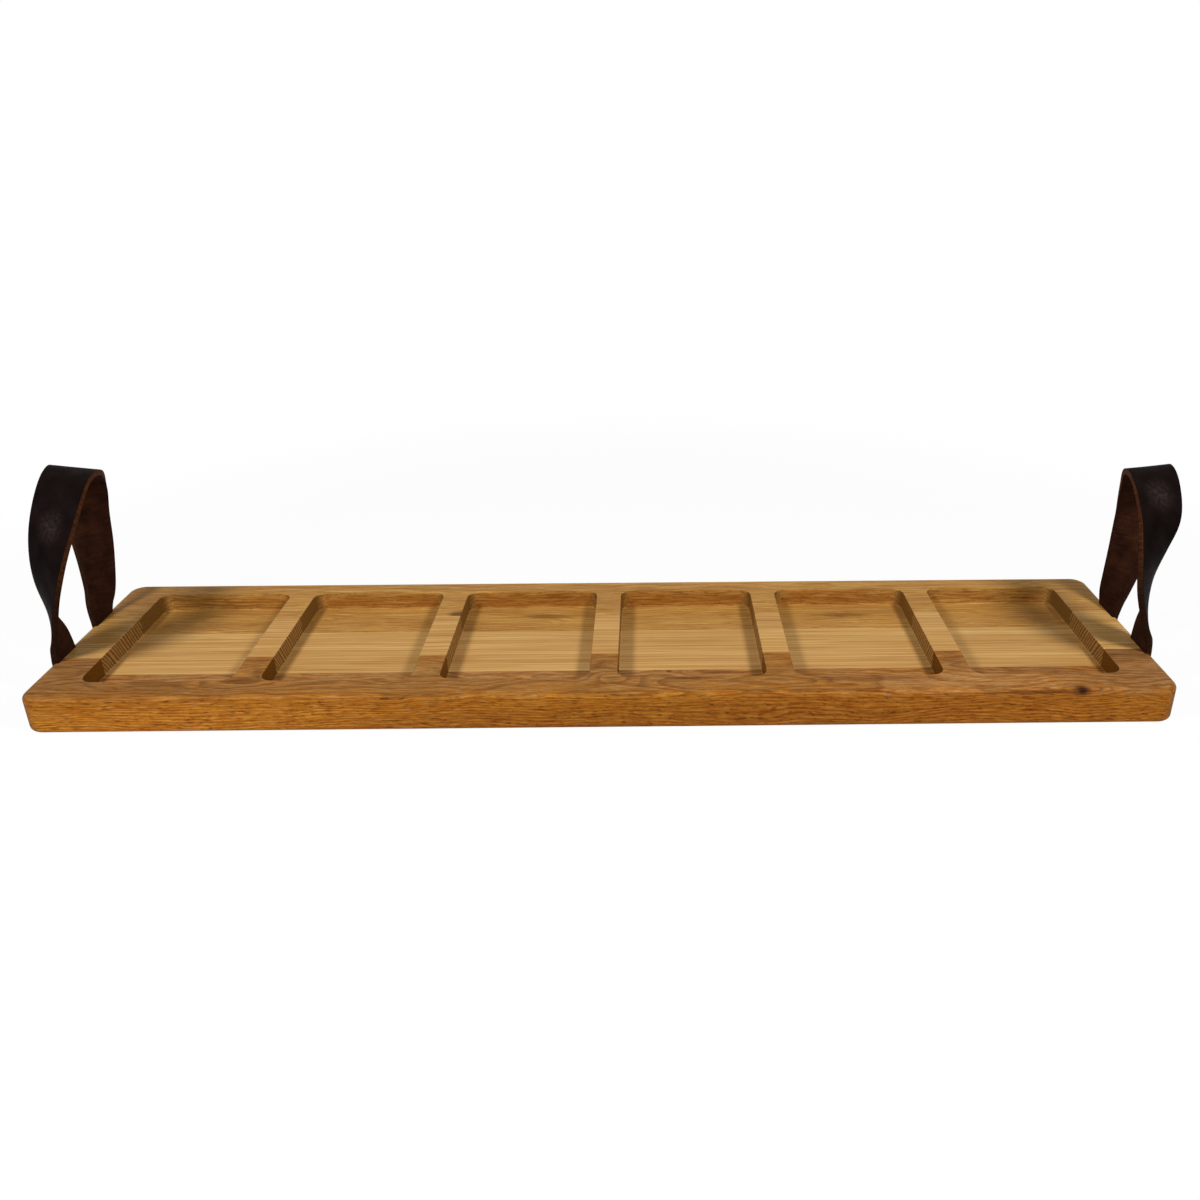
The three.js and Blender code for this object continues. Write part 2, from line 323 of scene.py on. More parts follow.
# x, y, z, turn and width, from the front leg over the grip and down the rear leg
LEFT_LOOP = (
    (-397.6, -30.5, 28, -92, 26), (-397.5, -31.3, 41.6, -82.4, 26.7),
    (-396.8, -33.9, 55.1, -63.1, 28.5), (-393.7, -36.5, 82.3, -42.8, 32.7),
    (-388, -34.2, 108.9, -24.8, 34.2), (-382.2, -24.1, 134.2, -6.9, 34.2),
    (-380.7, -3.8, 152.9, 1.1, 34.2), (-385.7, 23.1, 152.8, 6, 34.2),
    (-395.1, 42.2, 135.2, -20.5, 34.2), (-400, 48.7, 109.8, -53.5, 34.2),
    (-398.8, 45.8, 82.3, -66.2, 32.7), (-396.8, 37.5, 54.6, -73, 28.5),
    (-397.3, 32.2, 41.4, -80, 26.7), (-397.6, 30.5, 28, -90, 26))
RIGHT_LOOP = (
    (397.6, -30.5, 28, 92, 26), (397.1, -31, 41, 85.9, 26.4),
    (394.9, -32.6, 53.8, 70.3, 27.3), (389.6, -35.2, 79.4, 54, 29.8),
    (389.3, -36.4, 105.8, 35, 30.9), (391.5, -31.2, 131.4, 10.2, 31.4),
    (392.3, -12.2, 151, -3, 31.4), (396.6, 11.9, 150.9, -5, 31.4),
    (404.3, 28.8, 130.8, 6.2, 31.4), (407.3, 34, 105.3, 26.4, 30.9),
    (405, 32.1, 79.4, 46.6, 29.8), (400, 30, 53.9, 66, 27.3),
    (398, 30.4, 41, 76.2, 26.4), (397.6, 30.5, 28, 88, 26))
print(f"stations: {len(LEFT_LOOP)} on the left loop, {len(RIGHT_LOOP)} on the right one")

# %% [markdown]
# ## From stations to rows
# A strap bends without a kink, so its rows can't run straight from one station to the next. They
# follow a smooth curve through them, and the way across the strap turns with it. A flat grid will
# stand for the leather, with one row of points for each row found here.

# %% Rows between the stations
STATION_STEPS = 4  # rows from one station to the next


def smooth_through(points, steps):
    """A smooth run of values through the points, with so many steps from one to the next."""
    rows = []
    for number in range(len(points) - 1):
        a, b, c, d = (points[min(max(number + k, 0), len(points) - 1)] for k in (-1, 0, 1, 2))
        for step in range(steps):
            t = step / steps
            rows.append([0.5 * (2 * q + (r - p) * t + (2 * p - 5 * q + 4 * r - s) * t * t
                                + (3 * q - p - 3 * r + s) * t ** 3)
                         for p, q, r, s in zip(a, b, c, d)])
    rows.append(list(points[-1]))
    return rows


def strap_rows(loop):
    """Every row of a strap, from the foot of its front tab to the foot of its rear tab."""
    first, last = loop[0], loop[-1]
    rows = [[*first[:2], height, first[3], width] for height, width in TAB_ROWS]
    rows += smooth_through(loop, STATION_STEPS)
    rows += [[*last[:2], height, last[3], width] for height, width in reversed(TAB_ROWS)]
    return rows


def ways_across(rows, centres):
    """At each row, the way across the strap: along the board, then turned about the strap."""
    across = []
    for number, row in enumerate(rows):
        before, after = centres[max(number - 1, 0)], centres[min(number + 1, len(rows) - 1)]
        along = (after - before).normalized()
        flat = (Vector((1, 0, 0)) - along.x * along).normalized()
        turn = math.radians(row[3])
        across.append(math.cos(turn) * flat + math.sin(turn) * along.cross(flat))
    return across


print(f"rows: {len(strap_rows(LEFT_LOOP))} in each strap")

# %% [markdown]
# ## The leather straps
# Each row of a flat grid is carried to its place, and the grid's own map is set to millimetres of
# leather, so that a pattern follows the twist. Subdivision smooths the strap, Solidify gives it its
# thickness and a bevel breaks the cut edges. Modelling the thickness first would let the twist
# squeeze it.

# %% Carry a flat grid along the stations
LEATHER = 4.2 * MM
FACES_ACROSS, SMOOTHING = 4, 2
EDGE_BREAK, BREAK_STEPS, CUT_ANGLE = 0.9 * MM, 2, math.radians(50)


def strap(name, loop, sheen_spot):
    """The last value is how far along, in mm, the grain's painted sheen lies; the map starts there.
    """
    rows = strap_rows(loop)
    centres = [Vector(row[:3]) * MM for row in rows]
    across = ways_across(rows, centres)
    lengths = [-sheen_spot * MM]
    for before, after in zip(centres, centres[1:]):
        lengths.append(lengths[-1] + (after - before).length)
    clear_bench()
    bpy.ops.mesh.primitive_grid_add(x_subdivisions=FACES_ACROSS, y_subdivisions=len(rows) - 1,
                                    size=1)
    made = bpy.context.object
    made.name = made.data.name = name
    flat_places = [vertex.co.copy() for vertex in made.data.vertices]
    flat_map = []
    for vertex, place in zip(made.data.vertices, flat_places):
        number = round((place.y + 0.5) * (len(rows) - 1))
        reach = place.x * rows[number][4] * MM
        vertex.co = centres[number] + reach * across[number]
        flat_map.append((reach, lengths[number]))
    for corner, spot in zip(made.data.loops, made.data.uv_layers.active.data):
        spot.uv = flat_map[corner.vertex_index]
    use(made, "SUBSURF", levels=SMOOTHING, render_levels=SMOOTHING)
    for _ in ("grain", "flesh", "edge"):
        made.data.materials.append(None)
    use(made, "SOLIDIFY", thickness=LEATHER, offset=0, use_even_offset=True,
        material_offset=1, material_offset_rim=2)
    use(made, "BEVEL", width=EDGE_BREAK, segments=BREAK_STEPS, limit_method="ANGLE",
        angle_limit=CUT_ANGLE, material=0)
    bpy.ops.object.shade_smooth_by_angle(angle=CUT_ANGLE)
    leather_length = (lengths[-1] - lengths[0]) / MM
    print(f"{name}: {leather_length:.0f} mm of leather, {len(made.data.polygons)} faces")
    return made


left_strap = strap("left_leather_strap", LEFT_LOOP, sheen_spot=128)
right_strap = strap("right_leather_strap", RIGHT_LOOP, sheen_spot=146)

# %% [markdown]
# ## A way to write materials
# Colours are read off as sRGB hex values and turned to the linear values that the shader works in.
# One function adds a node with its settings and its links, so a finish reads as a list of steps,
# and what is the same all over a surface is set on the shader's own sockets. Some sockets go by
# number: Map Range turns the run between its sockets 1 and 2 into the run between 3 and 4, and a
# colour Mix has its share at 0 and its two colours at 6 and 7.

# %% Colour and node helpers
def colour(hex_value):
    """The linear value of an sRGB hex colour."""
    def channel(value):
        value /= 255
        return value / 12.92 if value <= 0.04045 else ((value + 0.055) / 1.055) ** 2.4
    return tuple(channel(int(hex_value[k:k + 2], 16)) for k in (1, 3, 5)) + (1.0,)


def add(tree, kind, inputs=None, **settings):
    """Adds a node: settings are its own, and inputs are values, or outputs to link from."""
    made = tree.nodes.new(kind)
    for name, value in settings.items():
        setattr(made, name, value)
    for socket, value in (inputs or {}).items():
        if isinstance(value, bpy.types.NodeSocket):
            tree.links.new(value, made.inputs[socket])
        else:
            made.inputs[socket].default_value = value
    return made


def new_finish(name):
    """A new material, with its tree of nodes still empty."""
    finish = bpy.data.materials.new(name)
    finish.use_nodes = True
    finish.node_tree.nodes.clear()
    return finish, finish.node_tree


def in_millimetres(tree, space):
    """Where a point lies in the object's space or on the piece's own map, in millimetres."""
    metres = add(tree, "ShaderNodeTexCoord").outputs[space]
    place = add(tree, "ShaderNodeVectorMath", {0: metres, "Scale": 1 / MM}, operation="SCALE")
    return place.outputs[0]


def coat(tree, sockets):
    """Ends a finish with its shader, given the shader's constants and links."""
    shader = add(tree, "ShaderNodeBsdfPrincipled", sockets)
    add(tree, "ShaderNodeOutputMaterial", {0: shader.outputs[0]})


print(f"sRGB mid grey is {colour('#808080')[0]:.3f} in linear light")

# %% [markdown]
# ## Grain and rings
# Beech has yearly rings a few millimetres wide. A picture of wood could be laid on each face, but
# then the end grain in the pockets would not meet the rings on top. So the wood is made in the
# solid: rings about a pith that lies off the stave, bent by a slow sway of the grain. Where the
# pith lies turns bold arches into straight lines.

# %% Sway and rings, in millimetres
SWAY_LENGTH, SWAY_WIDTH = 120, 36
EULER = 2.718


def drawn_out(length, width):
    """A Mapping scale for a pattern of this length along the stave and this width across it."""
    return 1 / length, 1 / width, 1 / width


def swaying(tree, place, bend):
    """The place in the wood, moved across the stave by the slow sway of the grain."""
    slow = add(tree, "ShaderNodeMapping",
               {"Vector": place, "Scale": drawn_out(SWAY_LENGTH, SWAY_WIDTH)})
    sway = add(tree, "ShaderNodeTexNoise", {"Vector": slow.outputs[0], "Scale": 1.0, "Detail": 2.0})
    centred = add(tree, "ShaderNodeVectorMath", {0: sway.outputs["Color"], 1: (0.5, 0.5, 0.5)},
                  operation="SUBTRACT")
    swung = add(tree, "ShaderNodeVectorMath",
                {0: centred.outputs[0], 1: (0, 2 * bend, 2 * bend), 2: place},
                operation="MULTIPLY_ADD")
    return swung.outputs[0]


def reaches_from(tree, place, spot, reach):
    """The way from a spot, counted in its reaches along, across and up."""
    off = add(tree, "ShaderNodeVectorMath", {0: place, 1: spot}, operation="SUBTRACT")
    near = add(tree, "ShaderNodeVectorMath", {0: off.outputs[0], 1: tuple(1 / r for r in reach)},
               operation="MULTIPLY")
    return near.outputs[0]


def year_rings(tree, place, swung, pith, ring, spread, eyes):
    """Rings of uneven width: pale early wood, then a darker line of late wood."""
    from_pith = add(tree, "ShaderNodeVectorMath", {0: swung, 1: (0, -pith[0], -pith[1])},
                    operation="ADD")
    level = add(tree, "ShaderNodeVectorMath", {0: from_pith.outputs[0], 1: (0, 1, 1)},
                operation="MULTIPLY")
    radius = add(tree, "ShaderNodeVectorMath", {0: level.outputs[0]}, operation="LENGTH").outputs[1]
    # an eye is a place where the rings swell round an old branch
    for spot, reach, swell in eyes:
        near = reaches_from(tree, place, spot, reach)
        square = add(tree, "ShaderNodeVectorMath", {0: near, 1: near}, operation="DOT_PRODUCT")
        fall = add(tree, "ShaderNodeMath", {0: EULER, 1: square.outputs[1]}, operation="POWER")
        hump = add(tree, "ShaderNodeMath", {0: swell, 1: fall.outputs[0]}, operation="DIVIDE")
        radius = add(tree, "ShaderNodeMath", {0: radius, 1: hump.outputs[0]}).outputs[0]
    uneven = add(tree, "ShaderNodeTexNoise", {"W": radius, "Scale": 0.1, "Detail": 1.0},
                 noise_dimensions="1D")
    widths = add(tree, "ShaderNodeMath", {0: uneven.outputs[0], 1: spread * ring, 2: radius},
                 operation="MULTIPLY_ADD")
    count = add(tree, "ShaderNodeMath", {0: widths.outputs[0], 1: ring}, operation="DIVIDE")
    year = add(tree, "ShaderNodeMath", {0: count.outputs[0]}, operation="FRACT")
    late = add(tree, "ShaderNodeValToRGB", {0: year.outputs[0]})
    late.color_ramp.interpolation = "EASE"
    stops = late.color_ramp.elements
    stops[0].position, stops[0].color = 0.3, (0, 0, 0, 1)
    stops[1].position, stops[1].color = 0.85, (1, 1, 1, 1)
    stops.new(1.0).color = (0.05, 0.05, 0.05, 1)
    return late.outputs[0]


print(f"the grain sways over {SWAY_LENGTH} mm along a stave and {SWAY_WIDTH} mm across it")

# %% [markdown]
# ## Patches of other colour
# A real stave isn't even: it has paler and deeper zones, stains by an old branch and small knots.
# They could be painted on a map of each face, but a stain would then stop at every edge. So each is
# a soft spot in the solid wood, with a rim torn along the grain, and it runs over an edge and down
# the wall as the real one does. A few are painted light instead: the shadow of the left strap on
# its end of the board, and part of the sheen on the front stave's top.

# %% Patches with torn rims
TEAR_LENGTH, TEAR_WIDTH = 16, 2.2  # millimetres


def patched(tree, wood, place, swung, patches):
    """The colour of the wood with each patch mixed over it."""
    torn = add(tree, "ShaderNodeMapping",
               {"Vector": swung, "Scale": drawn_out(TEAR_LENGTH, TEAR_WIDTH)})
    rag = add(tree, "ShaderNodeTexNoise", {"Vector": torn.outputs[0], "Scale": 1.0, "Detail": 4.0})
    rag = add(tree, "ShaderNodeMapRange",
              {"Value": rag.outputs[0], 1: 0.25, 2: 0.75, 3: -0.35, 4: 0.35})
    for spot, reach, tint, amount in patches:
        near = reaches_from(tree, place, spot, reach)
        far = add(tree, "ShaderNodeVectorMath", {0: near}, operation="LENGTH")
        far = add(tree, "ShaderNodeMath", {0: rag.outputs[0], 1: far.outputs[1]})
        here = add(tree, "ShaderNodeMapRange",
                   {"Value": far.outputs[0], 1: 0.3, 2: 1.2, 3: amount, 4: 0.0},
                   interpolation_type="SMOOTHSTEP")
        wood = add(tree, "ShaderNodeMix", {0: here.outputs[0], 6: wood, 7: colour(tint)},
                   data_type="RGBA").outputs[2]
    return wood


print(f"patch rims are torn over {TEAR_LENGTH} mm along the grain")

# %% [markdown]
# ## Oiled beech
# Sanded and oiled beech has a low, broad shine. Fine fibres run along the stave, and on its sides
# the ends of the rays show as short dark flecks. Cut ends drink more oil, so the walls across the
# grain are darker. A bump alone could give the fibres, but oil darkens them more than it raises
# them, so they work on the colour first.

# %% Beech, planed, sanded and oiled
FLECK_LENGTH, FLECK_WIDTH = 6, 1.3  # millimetres
STREAK_LENGTH, STREAK_WIDTH = 150, 17
FIBRE_SHADE = "#bfa070"


def beech(name, pale, deep, dark, end, pith, ring, figure, ends, bend, fibre, grain, fleck, sheen,
          spread=1.6, eyes=(), patches=()):
    """pale, deep, dark and end colour the wood between rings, in broad streaks, in rings and
    flecks, and on cut ends. sheen is the specular level that the oil leaves.
    pith (its y and z), ring, bend (the sway of the grain) and fibre (length and thickness) are in
    millimetres. figure, ends, grain and fleck say how strongly rings show along the stave and on
    its end grain, and fibres and ray flecks everywhere. spread says how unevenly the rings are
    spaced. eyes and patches are places with their own rings or colour."""
    finish, tree = new_finish(name)
    place = in_millimetres(tree, "Object")
    swung = swaying(tree, place, bend)
    late = year_rings(tree, place, swung, pith, ring, spread, eyes)

    # fibres: the real ones are far finer, so bundles of them 1 to 2 mm thick are drawn
    drawn = add(tree, "ShaderNodeMapping", {"Vector": swung, "Scale": drawn_out(*fibre)})
    fibres = add(tree, "ShaderNodeTexNoise",
                 {"Vector": drawn.outputs[0], "Scale": 1.0, "Detail": 4.0, "Roughness": 0.75})

    # ray flecks 3 to 5 mm long and 0.7 mm thick: real ones are half as thick, too fine to show here
    rays = add(tree, "ShaderNodeMapping",
               {"Vector": swung, "Scale": drawn_out(FLECK_LENGTH, FLECK_WIDTH)})
    dashes = add(tree, "ShaderNodeTexNoise",
                 {"Vector": rays.outputs[0], "Scale": 1.0, "Detail": 1.0})
    flecks = add(tree, "ShaderNodeMapRange",
                 {"Value": dashes.outputs[0], 1: 0.56, 2: 0.7, 3: 0.0, 4: fleck})

    # broad streaks of deeper colour, with the patches over them
    broad = add(tree, "ShaderNodeMapping",
                {"Vector": swung, "Scale": drawn_out(STREAK_LENGTH, STREAK_WIDTH)})
    streak = add(tree, "ShaderNodeTexNoise",
                 {"Vector": broad.outputs[0], "Scale": 1.0, "Detail": 3.0})
    depth = add(tree, "ShaderNodeMapRange",
                {"Value": streak.outputs[0], 1: 0.38, 2: 0.66, 3: 0.0, 4: 1.0})
    wood = add(tree, "ShaderNodeMix", {0: depth.outputs[0], 6: colour(pale), 7: colour(deep)},
               data_type="RGBA")
    wood = patched(tree, wood.outputs[2], place, swung, patches)

    # end grain drinks more oil, so it is darker: it faces along the stave, and not upward
    facing = add(tree, "ShaderNodeSeparateXYZ",
                 {0: add(tree, "ShaderNodeTexCoord").outputs["Normal"]})
    across = add(tree, "ShaderNodeMath", {0: facing.outputs[0]}, operation="ABSOLUTE")
    across = add(tree, "ShaderNodeMath", {0: facing.outputs[2], 1: -0.6, 2: across.outputs[0]},
                 operation="MULTIPLY_ADD")
    cut = add(tree, "ShaderNodeMapRange",
              {"Value": across.outputs[0], 1: 0.35, 2: 0.9, 3: 0.0, 4: 1.0})
    wood = add(tree, "ShaderNodeMix", {0: cut.outputs[0], 6: wood, 7: colour(end)},
               data_type="RGBA")
    bold = add(tree, "ShaderNodeMapRange",
               {"Value": cut.outputs[0], 1: 0.0, 2: 1.0, 3: figure, 4: ends})
    ringed = add(tree, "ShaderNodeMath", {0: late, 1: bold.outputs[0]}, operation="MULTIPLY")
    fine = add(tree, "ShaderNodeMapRange",
               {"Value": fibres.outputs[0], 1: 0.34, 2: 0.66, 3: 0.0, 4: grain})
    wood = add(tree, "ShaderNodeMix",
               {0: fine.outputs[0], 6: wood.outputs[2], 7: colour(FIBRE_SHADE)},
               data_type="RGBA", blend_type="MULTIPLY")

    # flecks show best on the sides of a stave, where the ends of the rays are cut across
    side = add(tree, "ShaderNodeMath", {0: facing.outputs[1]}, operation="ABSOLUTE")
    side = add(tree, "ShaderNodeMapRange",
               {"Value": side.outputs[0], 1: 0.3, 2: 0.9, 3: 0.35, 4: 1.0})
    marks = add(tree, "ShaderNodeMath",
                {0: flecks.outputs[0], 1: side.outputs[0], 2: ringed.outputs[0]},
                operation="MULTIPLY_ADD", use_clamp=True)
    wood = add(tree, "ShaderNodeMix", {0: marks.outputs[0], 6: wood.outputs[2], 7: colour(dark)},
               data_type="RGBA")

    gloss = add(tree, "ShaderNodeMapRange",
                {"Value": fibres.outputs[0], 1: 0.3, 2: 0.7, 3: 0.48, 4: 0.62})
    relief = add(tree, "ShaderNodeBump",
                 {"Height": fibres.outputs[0], "Strength": 0.12, "Distance": 0.0003})
    coat(tree, {"Base Color": wood.outputs[2], "Roughness": gloss.outputs[0],
                "Normal": relief.outputs[0], "IOR": 1.5, "Specular IOR Level": sheen})
    print(f"{name}: {len(tree.nodes)} nodes")
    return finish


print(f"patterns: flecks {FLECK_LENGTH} x {FLECK_WIDTH} mm, "
      f"streaks {STREAK_LENGTH} x {STREAK_WIDTH} mm")

# %% [markdown]
# ## Wood of the three staves
# The front stave is reddish, flat sawn wood with bold arches, flecks and a small knot. The middle
# one is pale and straight, and shows its rings as fine lines on the walls of the pockets. The back
# one lies between them. One material could dress all three, but the eye reads them as three trees,
# so each has its own pith, colours and marks. Places and reaches are in millimetres.

# %% Dress the wood of each stave
front_wood = beech(
    "beech_flat_sawn_oiled", "#bd7e28", "#b27225", "#4a2404", "#7a5017",
    pith=(-62, -46), ring=1.9, figure=0.42, ends=0.3, bend=9,
    fibre=(16, 1.2), grain=1.1, fleck=0.45, sheen=0.06,
    eyes=(((6, -71, 28), (16, 8.5, 14), 8), ((330, -93, 27), (24, 9, 10), 6)),
    patches=(
        # broad zones of the top, and both its ends: the wood's tone, greyed in part as painted sheen
        ((-60, -64, 32), (440, 46, 10), "#a78351", 0.75),
        ((258, -80, 31), (112, 26, 9), "#d2a972", 0.48),
        ((-330, -84, 30), (120, 22, 8), "#8d6a3f", 0.5),
        ((-374, -54, 29), (66, 40, 9), "#9a774e", 0.7),
        ((376, -66, 29), (64, 44, 9), "#a27d55", 0.75),
        ((386, -40, 29), (54, 12, 9), "#8a6640", 0.75),
        # its strip of the pocket floors
        ((-150, -40, 12), (600, 18, 6.5), "#be9462", 0.7),
        ((315, -44, 13), (60, 14, 5), "#96714a", 0.6),
        # the front face
        ((-290, -96, 10), (230, 8, 18), "#da9538", 0.75),
        ((40, -96, 6), (300, 8, 16), "#a16625", 0.5),
        # stains round the pockets
        ((-250, -50, 28), (13, 16, 3), "#76481f", 0.15),
        ((252, -50, 29), (13, 18, 4), "#8f6845", 0.55),
        ((-254, -72, 28), (16, 4, 3), "#69381c", 0.6),
        ((61, -73, 28), (15, 3, 3), "#643613", 0.7),
        ((86, -40, 14), (17, 3, 3), "#703e19", 0.6),
        ((47, -38, 14), (3, 1.6, 2), "#43250e", 0.8),
        ((190, -76, 28), (60, 5, 3), "#754821", 0.5),
        # the knot on the front edge, with the streak that leads to it
        ((300, -94, 26), (45, 2, 2), "#5f330b", 0.8),
        ((331, -93.5, 27), (8, 5, 5), "#4e1f09", 0.8),
        ((331, -94, 27), (3.8, 3.4, 3.4), "#110502", 0.97)))
# rings about 2.7 mm wide, drawn at 3.2 mm because finer ones do not show on the pocket walls
middle_wood = beech(
    "beech_rift_sawn_oiled", "#dbb06d", "#cda05f", "#553514", "#ad8449",
    pith=(-140, -52), ring=3.2, figure=0.16, ends=1.02, bend=1.5,
    fibre=(240, 1.8), grain=0.8, fleck=0.06, sheen=0.1, spread=0.9,
    # the first patch is painted shadow of the left strap over the left end of the rim
    patches=(((-398, -2, 28), (36, 44, 8), "#b48a4a", 0.85),
             ((0, 25, 14), (460, 12, 6), "#e3b974", 0.6)))
back_wood = beech(
    "beech_half_rift_sawn_oiled", "#d5a65a", "#c1904d", "#4a290c", "#86632e",
    pith=(110, -52), ring=2.4, figure=0.2, ends=0.3, bend=7,
    fibre=(40, 1.2), grain=0.95, fleck=0.36, sheen=0.1,
    eyes=(((-58, 56, 14), (30, 9, 10), 6),),
    patches=(((0, 76.5, 20), (460, 4, 9), "#a6681f", 0.8),
             ((-115.5, 33.4, 27), (11, 8, 8), "#5e3c1a", 0.85),
             # painted shadow of the left strap over the back-left corner of the rim
             ((-394, 66, 28), (52, 50, 8), "#a87d41", 0.9),
             ((-54, 56, 14), (26, 5, 3), "#6b4417", 0.6),
             ((192, 55, 14), (24, 5, 3), "#6b4417", 0.55)))

# %% [markdown]
# ## Leather: the dyed grain
# The straps are thick vegetable-tanned leather, dyed nearly black on the grain side and left raw on
# the flesh side and the cut edges. The three surfaces differ so much that each gets its own finish.
# One finish with a mask would need the mask drawn, while Solidify already tells the sides apart.
# All three read the strap's own map, which runs in metres across and along it.

# %% Leather grain, dyed and waxed
# millimetres: real cells and pores are about half as large, too fine to show here
CLOUD, CELL, PORE, SCUFF = 16, 0.9, 0.5, 3.0
SHEEN_SPOT_WIDTH, SHEEN_SPOT_LENGTH = 13, 16


def leather_grain():
    """Near black and softly shining, with fine pebbled cells and a few scuffs."""
    finish, tree = new_finish("leather_grain_waxed")
    place = in_millimetres(tree, "UV")
    cloud = add(tree, "ShaderNodeTexNoise", {"Vector": place, "Scale": 1 / CLOUD, "Detail": 4.0})
    pebble = add(tree, "ShaderNodeTexVoronoi", {"Vector": place, "Scale": 1 / CELL},
                 feature="SMOOTH_F1")
    pores = add(tree, "ShaderNodeTexNoise", {"Vector": place, "Scale": 1 / PORE, "Detail": 2.0})
    scuff = add(tree, "ShaderNodeTexNoise",
                {"Vector": place, "Scale": 1 / SCUFF, "Detail": 6.0, "Roughness": 0.75})
    tone = add(tree, "ShaderNodeMapRange",
               {"Value": cloud.outputs[0], 1: 0.35, 2: 0.65, 3: 0.0, 4: 1.0})
    dye = add(tree, "ShaderNodeMix",
              {0: tone.outputs[0], 6: colour("#0b0605"), 7: colour("#150d0b")}, data_type="RGBA")

    # painted sheen: a paler patch where the strap's map starts, below the top of the front leg,
    # stands for the lamps' soft highlight there, and for dye that hands rub thinner
    sheen_spot = add(tree, "ShaderNodeVectorMath", {0: place, 1: (1 / SHEEN_SPOT_WIDTH, 1 / SHEEN_SPOT_LENGTH, 0)},
               operation="MULTIPLY")
    sheen_spot = add(tree, "ShaderNodeVectorMath", {0: sheen_spot.outputs[0]}, operation="LENGTH")
    rub_and_sheen = add(tree, "ShaderNodeMapRange",
                 {"Value": sheen_spot.outputs[1], 1: 0.1, 2: 1.0, 3: 0.8, 4: 0.0},
                 interpolation_type="SMOOTHSTEP")
    broken = add(tree, "ShaderNodeMapRange",
                 {"Value": scuff.outputs[0], 1: 0.42, 2: 0.66, 3: 0.15, 4: 1.0})
    rub_and_sheen = add(tree, "ShaderNodeMath", {0: rub_and_sheen.outputs[0], 1: broken.outputs[0]},
                 operation="MULTIPLY")
    dye = add(tree, "ShaderNodeMix",
              {0: rub_and_sheen.outputs[0], 6: dye.outputs[2], 7: colour("#3a2f2c")}, data_type="RGBA")

    # scuffs show only in some of the clouds
    worn = add(tree, "ShaderNodeMapRange",
               {"Value": scuff.outputs[0], 1: 0.62, 2: 0.74, 3: 0.0, 4: 1.0})
    some = add(tree, "ShaderNodeMapRange",
               {"Value": cloud.outputs[0], 1: 0.5, 2: 0.64, 3: 0.0, 4: 0.45})
    worn = add(tree, "ShaderNodeMath", {0: worn.outputs[0], 1: some.outputs[0]},
               operation="MULTIPLY")
    dye = add(tree, "ShaderNodeMix", {0: worn.outputs[0], 6: dye.outputs[2], 7: colour("#574842")},
              data_type="RGBA")
    gloss = add(tree, "ShaderNodeMapRange",
                {"Value": cloud.outputs[0], 1: 0.3, 2: 0.7, 3: 0.72, 4: 0.6})
    height = add(tree, "ShaderNodeMath",
                 {0: pores.outputs[0], 1: 0.6, 2: pebble.outputs["Distance"]},
                 operation="MULTIPLY_ADD")
    bumps = add(tree, "ShaderNodeBump",
                {"Height": height.outputs[0], "Strength": 0.18, "Distance": 0.0004})
    coat(tree, {"Base Color": dye.outputs[2], "Roughness": gloss.outputs[0],
                "Normal": bumps.outputs[0], "IOR": 1.5, "Specular IOR Level": 0.015})
    print(f"{finish.name}: {len(tree.nodes)} nodes")
    return finish


grain_side = leather_grain()

# %% [markdown]
# ## Leather: the raw flesh
# The inner side of the loop is the flesh side: brown, matt and a little hairy, with creases where
# the strap bends. Real hairs would cost thousands of strands and not show at this distance. Noise
# of about a millimetre, coarser than the fibres, gives the nap instead.

# %% Leather flesh, raw
NAP, FLESH_CLOUD = 1.1, 14  # millimetres
CREASE_LENGTH, CREASE_WIDTH = 16, 2.2


def leather_flesh():
    """Dark brown and matt, with loose fibres and creases across the bend."""
    finish, tree = new_finish("leather_flesh_raw")
    place = in_millimetres(tree, "UV")
    nap = add(tree, "ShaderNodeTexNoise",
              {"Vector": place, "Scale": 1 / NAP, "Detail": 4.0, "Roughness": 0.65})
    cloud = add(tree, "ShaderNodeTexNoise",
                {"Vector": place, "Scale": 1 / FLESH_CLOUD, "Detail": 3.0})
    lines = add(tree, "ShaderNodeMapping",
                {"Vector": place, "Scale": (1 / CREASE_LENGTH, 1 / CREASE_WIDTH, 1)})
    crease = add(tree, "ShaderNodeTexNoise",
                 {"Vector": lines.outputs[0], "Scale": 1.0, "Detail": 2.0})
    tone = add(tree, "ShaderNodeMath", {0: nap.outputs[0], 1: 0.6, 2: cloud.outputs[0]},
               operation="MULTIPLY_ADD")
    tone = add(tree, "ShaderNodeMath", {0: crease.outputs[0], 1: 0.5, 2: tone.outputs[0]},
               operation="MULTIPLY_ADD")
    shade = add(tree, "ShaderNodeMapRange",
                {"Value": tone.outputs[0], 1: 0.8, 2: 1.3, 3: 0.0, 4: 1.0})
    hide = add(tree, "ShaderNodeMix",
               {0: shade.outputs[0], 6: colour("#1c0d07"), 7: colour("#3a1f12")}, data_type="RGBA")
    height = add(tree, "ShaderNodeMath", {0: crease.outputs[0], 1: 1.5, 2: nap.outputs[0]},
                 operation="MULTIPLY_ADD")
    bumps = add(tree, "ShaderNodeBump",
                {"Height": height.outputs[0], "Strength": 0.35, "Distance": 0.0006})
    coat(tree, {"Base Color": hide.outputs[2], "Normal": bumps.outputs[0],
                "Roughness": 0.9, "IOR": 1.45, "Specular IOR Level": 0.05})
    print(f"{finish.name}: {len(tree.nodes)} nodes")
    return finish


flesh_side = leather_flesh()

# %% [markdown]
# ## Leather: the cut edge
# A knife leaves the undyed inside of the hide bare, so a thin brown line runs round each strap. It
# could be a separate strip, but the rim that Solidify made is that strip already. Towards the
# board the edge is darker.

# %% Leather edge, cut
FIBRE_RUN, FUZZ = 2.5, 0.8  # millimetres
DARK_BELOW, PALE_ABOVE = 70.0, 120.0  # heights


